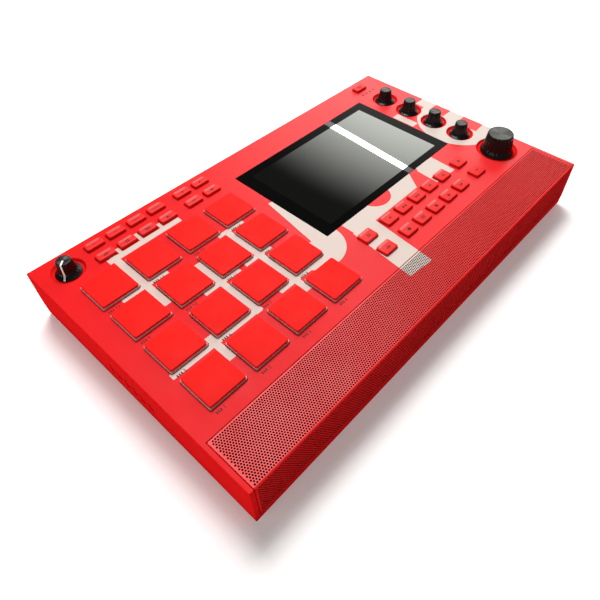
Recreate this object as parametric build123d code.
from build123d import *
import math
import os

os.makedirs("parts", exist_ok=True)

# Row frame: +X to the player's right, +Y to the back, +Z up, in millimetres.
# The origin is on the floor under the middle of the case.

# ---- driving dimensions ----------------------------------------------------
CASE_W = 409.0
CASE_D = 246.0
CASE_TOP = 47.4
FOOT_H = 2.0
WALL = 2.5
CORNER_R = 1.0
INSIDE_R = 0.8
TOP_EDGE_R = 0.8
PART_GAP = 0.4

SPLIT_Z = 14.4
NOTCH_Z = 8.9
CORNER_Z = 12.0
FRONT_Z = 10.0
NOTCH_BACK = 38.2
NOTCH_FRONT = 15.5
BOTTOM_INSET = 0.5
FLOOR_T = 2.5

SIDE_MARK = (5.0, 9.0)
SIDE_MARK_Y = (-24.0, -15.0, -6.0, 3.0, 12.0, 21.0)
SIDE_MARK_Z = 24.0
SIDE_MARK_DEPTH = 0.6

GRILLE_END = 4.2
GRILLE_DEPTH = 41.3
GRILLE_T = 1.0
GRILLE_SEAT = 1.2
GRILLE_GAP = 0.5
GRILLE_FOLD_R = 1.5
SOUND_WINDOW = (150.0, 31.0)
SOUND_WINDOW_X = 100.0
FRONT_WINDOW_H = 24.0

PAD_TOP = 30.0
PAD_BASE = 31.4
PAD_PITCH_X = 38.45
PAD_PITCH_Y = 38.65
PAD_FIRST = (34.6, 70.5)
PAD_RISE = 3.5
PAD_HOLE = 31.9
PAD_CORNER_R = 1.6
PAD_FLANGE = 34.6
PAD_COUNT = 4

LOWER_KEY = (14.5, 11.5)
LOWER_KEY_X = (196.5, 224.5, 244.0, 263.3, 282.7, 302.3, 329.3)
LOWER_KEY_Y = (55.7, 75.2)
UPPER_KEY = (15.3, 8.7)
UPPER_KEY_X = (43.5, 63.0, 82.5, 102.3, 129.5, 149.3)
UPPER_KEY_Y = (213.6, 229.8)
BANK_KEY_AT = (370.3, 229.0)
KEY_RISE = 2.5
KEY_GAP = 0.3
KEY_CORNER_R = 1.5
KEY_FLANGE = 1.0
KEY_FLANGE_T = 1.0
KEY_TRAVEL = 0.6

UNDER_GAP = 0.3
BOARD_T = 1.6
BOARD_TOP = 41.6

KNOB_X = 380.5
SMALL_KNOB_Y = (107.1, 138.1, 169.1, 200.1)
VOLUME_AT = (23.1, 225.4)
ENCODER_AT = (380.6, 65.8)
DISH_DEPTH = 2.0
DISH_SLOPE = 1.6
DISH_BACKING_T = 1.5
SMALL_DISH_R = 13.3
SMALL_SKIRT_R = 10.1
SMALL_WAIST_R = 6.7
SMALL_TOP_R = 5.85
SMALL_RISE = 11.4
SMALL_WAIST_AT = 0.27
ENCODER_DISH_R = 19.5
ENCODER_SKIRT_R = 15.5
ENCODER_WAIST_R = 13.3
ENCODER_TOP_R = 11.85
ENCODER_RISE = 17.6
ENCODER_WAIST_AT = 0.36
SKIRT_EDGE_T = 0.7
KNOB_LIFT = 0.3
ENCODER_LIFT = 0.8
SHAFT_R = 3.0
SHAFT_GAP = 0.08
SHAFT_HOLE_R = 3.6
POT_SIZE = 12.0
POT_TOP = 43.4
POT_H = 8.0

GLASS_X = (182.6, 356.9)
GLASS_Y = (105.4, 216.0)
GLASS_T = 1.5
GLASS_GAP = 0.2
LCD_MARGIN = 5.0
LCD_T = 5.0

JACK_Z = 29.0
JACK_X = (-58.0, -80.0, -102.0, -124.0, -146.0, -168.0)
JACK_R = 3.25
JACK_NOSE_R = 5.6
MINI_JACK_X = (-22.0, -36.0)
MINI_JACK_R = 1.8
MINI_JACK_NOSE_R = 3.6
DIN_X = (52.0, 28.0)
DIN_NOSE_R = 8.8
DIN_CORE_R = 6.0
DIN_SHELL_R = 6.9
USB_A_X = (118.0, 98.0)
USB_B_X = 138.0
DC_X = 160.0
DC_R = 2.8
DC_PIN_R = 1.0
DC_NOSE_R = 4.6
SOCKET_DEPTH = 14.0
SOCKET_BODY = 20.0
NOSE_GAP = 0.3
POWER_X = 178.0
POWER_R = 4.8
LOCK_X = -186.0
LOCK_SLOT = (7.0, 3.0)

POSTS = (
    (-195.5, -114.0),
    (195.5, -114.0),
    (-195.5, 112.0),
    (195.5, 112.0),
    (0.0, 114.0),
    (-29.5, 0.0),
    (158.0, 0.0),
    (-100.0, -75.7),
    (80.0, -75.7),
)
POST_R = 4.5
POST_BORE_R = 1.3
SCREW_R = 1.25
SCREW_HEAD_R = 2.8
SCREW_HEAD_H = 1.6
SCREW_TIP = 16.0
FOOT_R = 8.0
FOOT_AT = ((-176.0, -92.0), (176.0, -92.0), (-176.0, 96.0), (176.0, 96.0))

MAIN_BOARD_Z = 20.4
BATTERY = (150.0, 84.0, 18.0)
BATTERY_AT = (68.0, -22.0)

PANEL_UNDER = CASE_TOP - WALL
FLOOR_TOP = FOOT_H + FLOOR_T
FRONT_Y = -CASE_D / 2
BACK_Y = CASE_D / 2


def panel(x, y):
    """A place measured from the panel's front left corner, in the row frame."""
    return x - CASE_W / 2, y - CASE_D / 2


def block(x_range, y_range, z_range):
    """A box between three pairs of limits."""
    size = [high - low for low, high in (x_range, y_range, z_range)]
    middle = [(low + high) / 2 for low, high in (x_range, y_range, z_range)]
    return Pos(*middle) * Box(*size)


def rod(x, y, radius, low, high):
    """An upright cylinder between two heights."""
    return Pos(x, y, (low + high) / 2) * Cylinder(radius, high - low)


def rear_rod(x, z, radius, low, high):
    """A cylinder along Y between two depths."""
    return Pos(x, (low + high) / 2, z) * Rot(90, 0, 0) * Cylinder(radius, high - low)


def plate(width, depth, corner, low, high, x=0.0, y=0.0):
    """An upright prism with rounded corners, between two heights."""
    return Pos(x, y, low) * extrude(RectangleRounded(width, depth, corner), high - low)


def top_edges(solid):
    """The edges of a solid's highest face."""
    return solid.faces().sort_by(Axis.Z)[-1].edges()


def pad_centres():
    """Pads counted from the front left, row by row."""
    return [
        panel(PAD_FIRST[0] + column * PAD_PITCH_X, PAD_FIRST[1] + row * PAD_PITCH_Y)
        for row in range(PAD_COUNT)
        for column in range(PAD_COUNT)
    ]


def key_places():
    """Each key's name, centre and cap size."""
    places = []
    for group, size, xs, ys in (
        ("key_lower", LOWER_KEY, LOWER_KEY_X, LOWER_KEY_Y),
        ("key_upper", UPPER_KEY, UPPER_KEY_X, UPPER_KEY_Y),
    ):
        spots = [(x + size[0] / 2, y + size[1] / 2) for y in ys for x in xs]
        for number, spot in enumerate(spots, start=1):
            places.append((f"{group}_{number:02d}", panel(*spot), size))
    bank_x = BANK_KEY_AT[0] + UPPER_KEY[0] / 2
    bank_y = BANK_KEY_AT[1] + UPPER_KEY[1] / 2
    places.append(("key_knob_bank", panel(bank_x, bank_y), UPPER_KEY))
    return places


def knob_places():
    """Each small knob's name and centre."""
    places = [
        (f"parameter_knob_{number}", panel(KNOB_X, y))
        for number, y in enumerate(SMALL_KNOB_Y, start=1)
    ]
    return places + [("volume_knob", panel(*VOLUME_AT))]


def glass_limits():
    """The display glass as limits in X and Y."""
    low = panel(GLASS_X[0], GLASS_Y[0])
    high = panel(GLASS_X[1], GLASS_Y[1])
    return (low[0], high[0]), (low[1], high[1])


def grown(limits, by):
    """A pair of limits moved apart on each side."""
    return limits[0] - by, limits[1] + by


# ---- case ------------------------------------------------------------------
def dish(x, y, radius):
    """The shallow cone-sided recess under a knob, with its shaft hole."""
    cone = Cone(radius - DISH_SLOPE, radius, DISH_DEPTH)
    recess = Pos(x, y, CASE_TOP - DISH_DEPTH / 2) * cone
    return recess + rod(x, y, SHAFT_HOLE_R, PANEL_UNDER - 3, CASE_TOP)


def dish_backing(x, y, radius):
    """The thicker panel under a dish."""
    return rod(x, y, radius + 0.8, CASE_TOP - DISH_DEPTH - DISH_BACKING_T, PANEL_UNDER + 0.5)


def side_marks():
    """A row of plain engraved bars on the left side of the case."""
    left = -CASE_W / 2
    return [
        block(
            (left - 1, left + SIDE_MARK_DEPTH),
            (y - SIDE_MARK[0] / 2, y + SIDE_MARK[0] / 2),
            (SIDE_MARK_Z - SIDE_MARK[1] / 2, SIDE_MARK_Z + SIDE_MARK[1] / 2),
        )
        for y in SIDE_MARK_Y
    ]


def grille_seat():
    """The space cut for the grille, over the top and down the front."""
    reach = CASE_W / 2 - GRILLE_END + GRILLE_GAP
    back = FRONT_Y + GRILLE_DEPTH + GRILLE_GAP
    over = block((-reach, reach), (FRONT_Y - 1, back), (CASE_TOP - GRILLE_SEAT, CASE_TOP + 1))
    down = block((-reach, reach), (FRONT_Y - 1, FRONT_Y + GRILLE_SEAT), (0, CASE_TOP + 1))
    return over + down


def sound_windows():
    """Openings under the grille that let the speakers through."""
    cuts = []
    middle_y = FRONT_Y + GRILLE_DEPTH / 2 + 1
    middle_z = (CASE_TOP + FRONT_Z) / 2
    for x in (-SOUND_WINDOW_X, SOUND_WINDOW_X):
        cuts.append(plate(*SOUND_WINDOW, 3.0, PANEL_UNDER - 1, CASE_TOP, x, middle_y))
        sides = grown((x, x), SOUND_WINDOW[0] / 2)
        heights = grown((middle_z, middle_z), FRONT_WINDOW_H / 2)
        cuts.append(block(sides, (FRONT_Y - 1, FRONT_Y + WALL + 1), heights))
    return cuts


def socket_holes():
    """Holes in the back wall for the noses of the sockets."""
    cuts = []
    through = (BACK_Y - WALL - 1, BACK_Y + 1)
    rounds = [(x, JACK_NOSE_R) for x in JACK_X]
    rounds += [(x, MINI_JACK_NOSE_R) for x in MINI_JACK_X]
    rounds += [(x, DIN_NOSE_R) for x in DIN_X]
    rounds += [(DC_X, DC_NOSE_R), (POWER_X, POWER_R)]
    for x, radius in rounds:
        cuts.append(rear_rod(x, JACK_Z, radius + NOSE_GAP, *through))
    for x, (width, height) in usb_noses():
        sides = grown((x, x), width / 2 + NOSE_GAP)
        heights = grown((JACK_Z, JACK_Z), height / 2 + NOSE_GAP)
        cuts.append(block(sides, through, heights))
    slot_x = grown((LOCK_X, LOCK_X), LOCK_SLOT[0] / 2)
    slot_z = grown((JACK_Z, JACK_Z), LOCK_SLOT[1] / 2)
    cuts.append(block(slot_x, through, slot_z))
    return cuts


def usb_noses():
    """Each USB socket's place and outer nose size."""
    return [(x, (14.6, 7.2)) for x in USB_A_X] + [(USB_B_X, (11.6, 10.8))]


def split_cuts():
    """What the top shell leaves to the bottom cover, below the parting line."""
    wide = (-CASE_W, CASE_W)
    return [
        block(wide, (FRONT_Y + NOTCH_BACK, BACK_Y + 1), (0, SPLIT_Z)),
        block(wide, (FRONT_Y + WALL, FRONT_Y + NOTCH_FRONT), (0, CORNER_Z)),
        block(wide, (FRONT_Y - 1, FRONT_Y + WALL), (0, FRONT_Z)),
    ]


def make_top_shell():
    shell = plate(CASE_W, CASE_D, CORNER_R, NOTCH_Z, CASE_TOP)
    shell = fillet(top_edges(shell), TOP_EDGE_R)
    shell -= plate(CASE_W - 2 * WALL, CASE_D - 2 * WALL, INSIDE_R, NOTCH_Z - 1, PANEL_UNDER)
    shell -= split_cuts()
    openings = [
        Pos(x, y) * RectangleRounded(PAD_HOLE, PAD_HOLE, PAD_CORNER_R + KEY_GAP)
        for x, y in pad_centres()
    ]
    for _, (x, y), (width, depth) in key_places():
        hole = RectangleRounded(width + 2 * KEY_GAP, depth + 2 * KEY_GAP, KEY_CORNER_R)
        openings.append(Pos(x, y) * hole)
    shell -= [Pos(0, 0, PANEL_UNDER - 1) * extrude(hole, WALL + 2) for hole in openings]
    dishes = [(*spot, SMALL_DISH_R) for _, spot in knob_places()]
    dishes.append((*panel(*ENCODER_AT), ENCODER_DISH_R))
    shell += [dish_backing(*place) for place in dishes]
    shell -= [dish(*place) for place in dishes]
    shell -= side_marks()
    glass_x, glass_y = glass_limits()
    seat_z = CASE_TOP - GLASS_T
    shell -= block(grown(glass_x, GLASS_GAP), grown(glass_y, GLASS_GAP), (seat_z, CASE_TOP + 1))
    lcd_x = grown(glass_x, GLASS_GAP - LCD_MARGIN)
    lcd_y = grown(glass_y, GLASS_GAP - LCD_MARGIN)
    shell -= block(lcd_x, lcd_y, (PANEL_UNDER - 1, CASE_TOP))
    shell -= grille_seat()
    shell -= sound_windows()
    shell -= socket_holes()
    for x, y in POSTS:
        post = rod(x, y, POST_R, FLOOR_TOP + 2.7, PANEL_UNDER + 0.5)
        post -= rod(x, y, POST_BORE_R, 0, SCREW_TIP + 1.5)
        shell += post
    return shell


def make_bottom_cover():
    slope = math.degrees(math.atan2(BOTTOM_INSET, SPLIT_Z - PART_GAP - FOOT_H))
    outline = RectangleRounded(CASE_W, CASE_D, CORNER_R)
    height = SPLIT_Z - PART_GAP - FOOT_H
    cover = Pos(0, 0, SPLIT_Z - PART_GAP) * extrude(outline, -height, taper=slope)
    inside = (CASE_W - 9, CASE_D - 9)
    cover -= plate(*inside, INSIDE_R, FLOOR_TOP, CASE_TOP)
    wide = (-CASE_W, CASE_W)
    notch = (FRONT_Y + NOTCH_FRONT - PART_GAP, FRONT_Y + NOTCH_BACK + PART_GAP)
    cover -= block(wide, notch, (NOTCH_Z - PART_GAP, CASE_TOP))
    cover -= block(wide, (FRONT_Y, FRONT_Y + NOTCH_FRONT), (CORNER_Z - PART_GAP, CASE_TOP))
    cover -= block(wide, (FRONT_Y - 1, FRONT_Y + WALL + PART_GAP), (FRONT_Z - PART_GAP, CASE_TOP))
    for x, y in POSTS:
        cover += rod(x, y, POST_R + 1, FLOOR_TOP - 1, FLOOR_TOP + 2.5)
        cover -= rod(x, y, SCREW_HEAD_R + 0.5, 0, FOOT_H + 2.2)
        cover -= rod(x, y, SCREW_R + 0.35, 0, FLOOR_TOP + 3)
    for x, y in FOOT_AT:
        cover -= rod(x, y, FOOT_R + 0.2, 0, FOOT_H + 1.0)
    for side in (-1, 1):
        for step in range(8):
            slot_y = 20 + 9 * step
            slot = SlotOverall(40, 3)
            cover -= Pos(side * 110, slot_y, 0) * extrude(slot, FLOOR_TOP + 1)
    return cover


def make_grille():
    reach = CASE_W / 2 - GRILLE_END
    back = FRONT_Y + GRILLE_DEPTH
    over = block((-reach, reach), (FRONT_Y, back), (CASE_TOP - GRILLE_T, CASE_TOP))
    down = block((-reach, reach), (FRONT_Y, FRONT_Y + GRILLE_T), (FRONT_Z, CASE_TOP))
    sheet = over + down
    folds = sheet.edges().filter_by(Axis.X).sort_by(Axis.Z)[-2:]
    return fillet(folds.sort_by(Axis.Y)[0], GRILLE_FOLD_R)


# ---- pads, keys and knobs ----------------------------------------------------
def make_pad(x, y):
    rise = CASE_TOP + PAD_RISE
    slope = math.degrees(math.atan2((PAD_BASE - PAD_TOP) / 2, PAD_RISE))
    cap = extrude(RectangleRounded(PAD_BASE, PAD_BASE, PAD_CORNER_R), PAD_RISE, taper=slope)
    cap = fillet(top_edges(cap), 0.5)
    low = PANEL_UNDER - UNDER_GAP - 1.6
    stem = plate(PAD_BASE, PAD_BASE, PAD_CORNER_R, low, rise - PAD_RISE, x, y)
    flange = plate(PAD_FLANGE, PAD_FLANGE, PAD_CORNER_R, low, PANEL_UNDER - UNDER_GAP, x, y)
    return Pos(x, y, CASE_TOP) * cap + stem + flange


def make_key(x, y, size):
    width, depth = size
    top = CASE_TOP + KEY_RISE
    flange_top = PANEL_UNDER - UNDER_GAP
    flange_low = flange_top - KEY_FLANGE_T
    cap = plate(width, depth, KEY_CORNER_R, flange_low, top, x, y)
    cap = fillet(top_edges(cap), 0.5)
    wide = width + 2 * KEY_FLANGE
    deep = depth + 2 * KEY_FLANGE
    flange = plate(wide, deep, KEY_CORNER_R, flange_low, flange_top, x, y)
    plunger = rod(x, y, 2.0, BOARD_TOP + KEY_TRAVEL + UNDER_GAP, flange_low + 0.5)
    return cap + flange + plunger


def knob_profile(skirt_r, waist_r, top_r, low, rise, waist_at):
    """Half of a knob's upright section: a skirt that sweeps up into a tapered column."""
    top = CASE_TOP + rise
    rim = low + SKIRT_EDGE_T
    waist = CASE_TOP + rise * waist_at
    sweep = ThreePointArc(
        (skirt_r, rim),
        (waist_r + (skirt_r - waist_r) * 0.30, rim + (waist - rim) * 0.30),
        (waist_r, waist),
    )
    outline = Polyline((waist_r, waist), (top_r, top), (0, top), (0, low), (skirt_r, low), (skirt_r, rim))
    return make_face(Plane.XZ * (sweep + outline))


def make_knob(x, y):
    """A knob with its pressed-in shaft, as two solids."""
    low = CASE_TOP - DISH_DEPTH + KNOB_LIFT
    profile = knob_profile(
        SMALL_SKIRT_R, SMALL_WAIST_R, SMALL_TOP_R, low, SMALL_RISE, SMALL_WAIST_AT
    )
    body = revolve(profile, Axis.Z)
    body = fillet(top_edges(body), 0.5)
    shaft_top = CASE_TOP + SMALL_RISE - 3
    body -= rod(0, 0, SHAFT_R, low - 1, shaft_top)
    shaft = rod(0, 0, SHAFT_R, POT_TOP - POT_H + 1, shaft_top)
    return Pos(x, y, 0) * Compound(children=[body, shaft])


def make_encoder_knob(x, y):
    low = CASE_TOP - DISH_DEPTH + ENCODER_LIFT
    profile = knob_profile(
        ENCODER_SKIRT_R, ENCODER_WAIST_R, ENCODER_TOP_R, low, ENCODER_RISE, ENCODER_WAIST_AT
    )
    body = revolve(profile, Axis.Z)
    body = fillet(top_edges(body), 0.6)
    body -= rod(0, 0, SHAFT_R + SHAFT_GAP, low - 1, CASE_TOP + ENCODER_RISE - 3)
    return Pos(x, y, 0) * body


def make_encoder_shaft(x, y):
    return rod(x, y, SHAFT_R, POT_TOP - POT_H + 1.5, CASE_TOP + ENCODER_RISE - 3.3)


def make_power_button():
    head = rear_rod(POWER_X, JACK_Z, POWER_R, BACK_Y - WALL - 1.5, BACK_Y)
    stem = rear_rod(POWER_X, JACK_Z, 2.0, BACK_Y - WALL - 6, BACK_Y - WALL - 1)
    return head + stem


# ---- display, electronics and speakers ----------------------------------------
def make_display():
    glass_x, glass_y = glass_limits()
    glass = block(glass_x, glass_y, (CASE_TOP - GLASS_T, CASE_TOP))
    lcd_x = grown(glass_x, -LCD_MARGIN - 1)
    lcd_y = grown(glass_y, -LCD_MARGIN - 1)
    low = CASE_TOP - GLASS_T - LCD_T
    module = block(lcd_x, lcd_y, (low, CASE_TOP - GLASS_T))
    return Compound(children=[glass, module])


def board(x_range, y_range, top):
    """A circuit board from panel coordinates."""
    low = panel(x_range[0], y_range[0])
    high = panel(x_range[1], y_range[1])
    return block((low[0], high[0]), (low[1], high[1]), (top - BOARD_T, top))


def pot(x, y):
    """A potentiometer body with the bore its shaft turns in."""
    sides = grown((x, x), POT_SIZE / 2)
    depths = grown((y, y), POT_SIZE / 2)
    body = block(sides, depths, (POT_TOP - POT_H, POT_TOP))
    return body - rod(x, y, SHAFT_R + SHAFT_GAP, POT_TOP - POT_H + 0.8, POT_TOP + 1)


def round_socket(x, nose_r, body_w, body_h):
    """A socket's block behind the back wall with its round nose through it."""
    wall = BACK_Y - WALL - 0.2
    foot = MAIN_BOARD_Z
    top = max(foot + body_h, JACK_Z + nose_r + 0.6)
    body = block(grown((x, x), body_w / 2), (wall - SOCKET_BODY, wall), (foot, top))
    return body + rear_rod(x, JACK_Z, nose_r, wall - 1, BACK_Y)


def jack_sockets():
    """Round sockets, each one solid with its bore."""
    solids = []
    for x in JACK_X:
        socket = round_socket(x, JACK_NOSE_R, 15.0, 15.0)
        solids.append(socket - rear_rod(x, JACK_Z, JACK_R, BACK_Y - SOCKET_DEPTH, BACK_Y + 1))
    for x in MINI_JACK_X:
        socket = round_socket(x, MINI_JACK_NOSE_R, 9.0, 13.0)
        solids.append(socket - rear_rod(x, JACK_Z, MINI_JACK_R, BACK_Y - SOCKET_DEPTH, BACK_Y + 1))
    for x in DIN_X:
        socket = round_socket(x, DIN_NOSE_R, 19.0, 18.0)
        ring = rear_rod(x, JACK_Z, DIN_SHELL_R, BACK_Y - 9, BACK_Y + 1)
        ring -= rear_rod(x, JACK_Z, DIN_CORE_R, BACK_Y - 10, BACK_Y + 1)
        solids.append(socket - ring)
    socket = round_socket(DC_X, DC_NOSE_R, 12.0, 14.0)
    ring = rear_rod(DC_X, JACK_Z, DC_R, BACK_Y - 10, BACK_Y + 1)
    ring -= rear_rod(DC_X, JACK_Z, DC_PIN_R, BACK_Y - 11, BACK_Y + 2)
    solids.append(socket - ring)
    return solids


def usb_sockets():
    """Rectangular sockets, each with its tongue."""
    solids = []
    wall = BACK_Y - WALL - 0.2
    for x, (width, height) in usb_noses():
        sides = grown((x, x), width / 2)
        heights = (MAIN_BOARD_Z, JACK_Z + height / 2)
        body = block(sides, (wall - SOCKET_BODY, wall), heights)
        body += block(sides, (wall - 1, BACK_Y), grown((JACK_Z, JACK_Z), height / 2))
        mouth_x = grown((x, x), width / 2 - 1.05)
        mouth_z = grown((JACK_Z, JACK_Z), height / 2 - 1.05)
        body -= block(mouth_x, (BACK_Y - 11, BACK_Y + 1), mouth_z)
        if height < 8:
            tongue_z = (JACK_Z + 0.2, JACK_Z + 2.0)
        else:
            tongue_z = grown((JACK_Z, JACK_Z), 1.6)
        tongue_x = grown((x, x), width / 2 - 3.0)
        solids.append(body + block(tongue_x, (BACK_Y - 12, BACK_Y - 1), tongue_z))
    return solids


def make_circuit_boards():
    holes = [rod(x, y, POST_R + 1, 0, CASE_TOP) for x, y in POSTS]
    solids = [
        board((12, 171), (50, 208), BOARD_TOP),
        board((38, 172), (209.5, 242), BOARD_TOP),
        board((186, 352), (50, 98), BOARD_TOP),
        board((366, 400), (222, 240), BOARD_TOP),
        board((368, 396), (52, 219), POT_TOP - POT_H),
        board((11, 35), (214.5, 238.5), POT_TOP - POT_H),
        board((14, 395), (150, 243), MAIN_BOARD_Z),
    ]
    solids = [solid - holes for solid in solids]
    centres = [place for _, place in knob_places()]
    centres.append(panel(*ENCODER_AT))
    solids += [pot(x, y) for x, y in centres]
    solids += jack_sockets()
    solids += usb_sockets()
    switch_y = BACK_Y - WALL
    sides = grown((POWER_X, POWER_X), 6)
    solids.append(block(sides, (switch_y - 20, switch_y - 9), (MAIN_BOARD_Z, JACK_Z + 5)))
    return Compound(children=[part for solid in solids for part in solid.solids()])


def make_battery():
    width, depth, height = BATTERY
    x, y = BATTERY_AT
    pack = plate(width, depth, 4.0, FLOOR_TOP + 2.6, FLOOR_TOP + 2.6 + height, x, y)
    rest = block(grown((x, x), width / 2 - 8), grown((y, y), depth / 2 - 8), (FLOOR_TOP, FLOOR_TOP + 3))
    return pack + rest


def driver(x, y, length, width, top):
    """A speaker driver: a basket that carries an oval cone, over a magnet."""
    corner = width / 2 - 0.5
    basket = plate(length, width, corner, top - 3, top, x, y)
    basket -= plate(length - 8, width - 8, corner - 4, top - 2, top + 1, x, y)
    taper = extrude(RectangleRounded(length - 8, width - 8, corner - 4), -9, taper=20)
    cone = Pos(x, y, top - 3) * taper
    magnet = rod(x, y, width * 0.36, top - 20, top - 12)
    return basket + cone + magnet


def make_speakers():
    top = PANEL_UNDER
    y = FRONT_Y + GRILLE_DEPTH / 2 + 1
    drivers = []
    for side in (-1, 1):
        drivers.append(driver(side * SOUND_WINDOW_X, y, 96.0, 33.0, top))
        drivers.append(driver(side * (SOUND_WINDOW_X + 63), y, 24.0, 24.0, top))
    return Compound(children=[part for item in drivers for part in item.solids()])


# ---- fasteners and feet --------------------------------------------------------
def make_screws():
    solids = []
    for x, y in POSTS:
        head = rod(x, y, SCREW_HEAD_R, FOOT_H + 0.5, FOOT_H + 0.5 + SCREW_HEAD_H)
        drive = Pos(x, y, FOOT_H + 0.5) * Box(3.0, 0.7, 1.6)
        drive += Pos(x, y, FOOT_H + 0.5) * Box(0.7, 3.0, 1.6)
        solids.append(head - drive + rod(x, y, SCREW_R, FOOT_H + 2, SCREW_TIP))
    return Compound(children=solids)


def make_feet():
    return Compound(children=[fillet(
        rod(x, y, FOOT_R, 0, FOOT_H + 1.0).faces().sort_by(Axis.Z)[0].edges(), 0.6
    ) for x, y in FOOT_AT])


def save(name, shape):
    export_step(shape, f"parts/{name}.step")


save("top_shell", make_top_shell())
save("bottom_cover", make_bottom_cover())
save("speaker_grille", make_grille())
for number, place in enumerate(pad_centres(), start=1):
    save(f"pad_{number:02d}", make_pad(*place))
for name, place, size in key_places():
    save(name, make_key(*place, size))
for name, place in knob_places():
    save(name, make_knob(*place))
save("encoder_knob", make_encoder_knob(*panel(*ENCODER_AT)))
save("encoder_shaft", make_encoder_shaft(*panel(*ENCODER_AT)))
save("power_button", make_power_button())
save("touch_display", make_display())
save("circuit_boards", make_circuit_boards())
save("battery_pack", make_battery())
save("speaker_drivers", make_speakers())
save("case_screws", make_screws())
save("rubber_feet", make_feet())
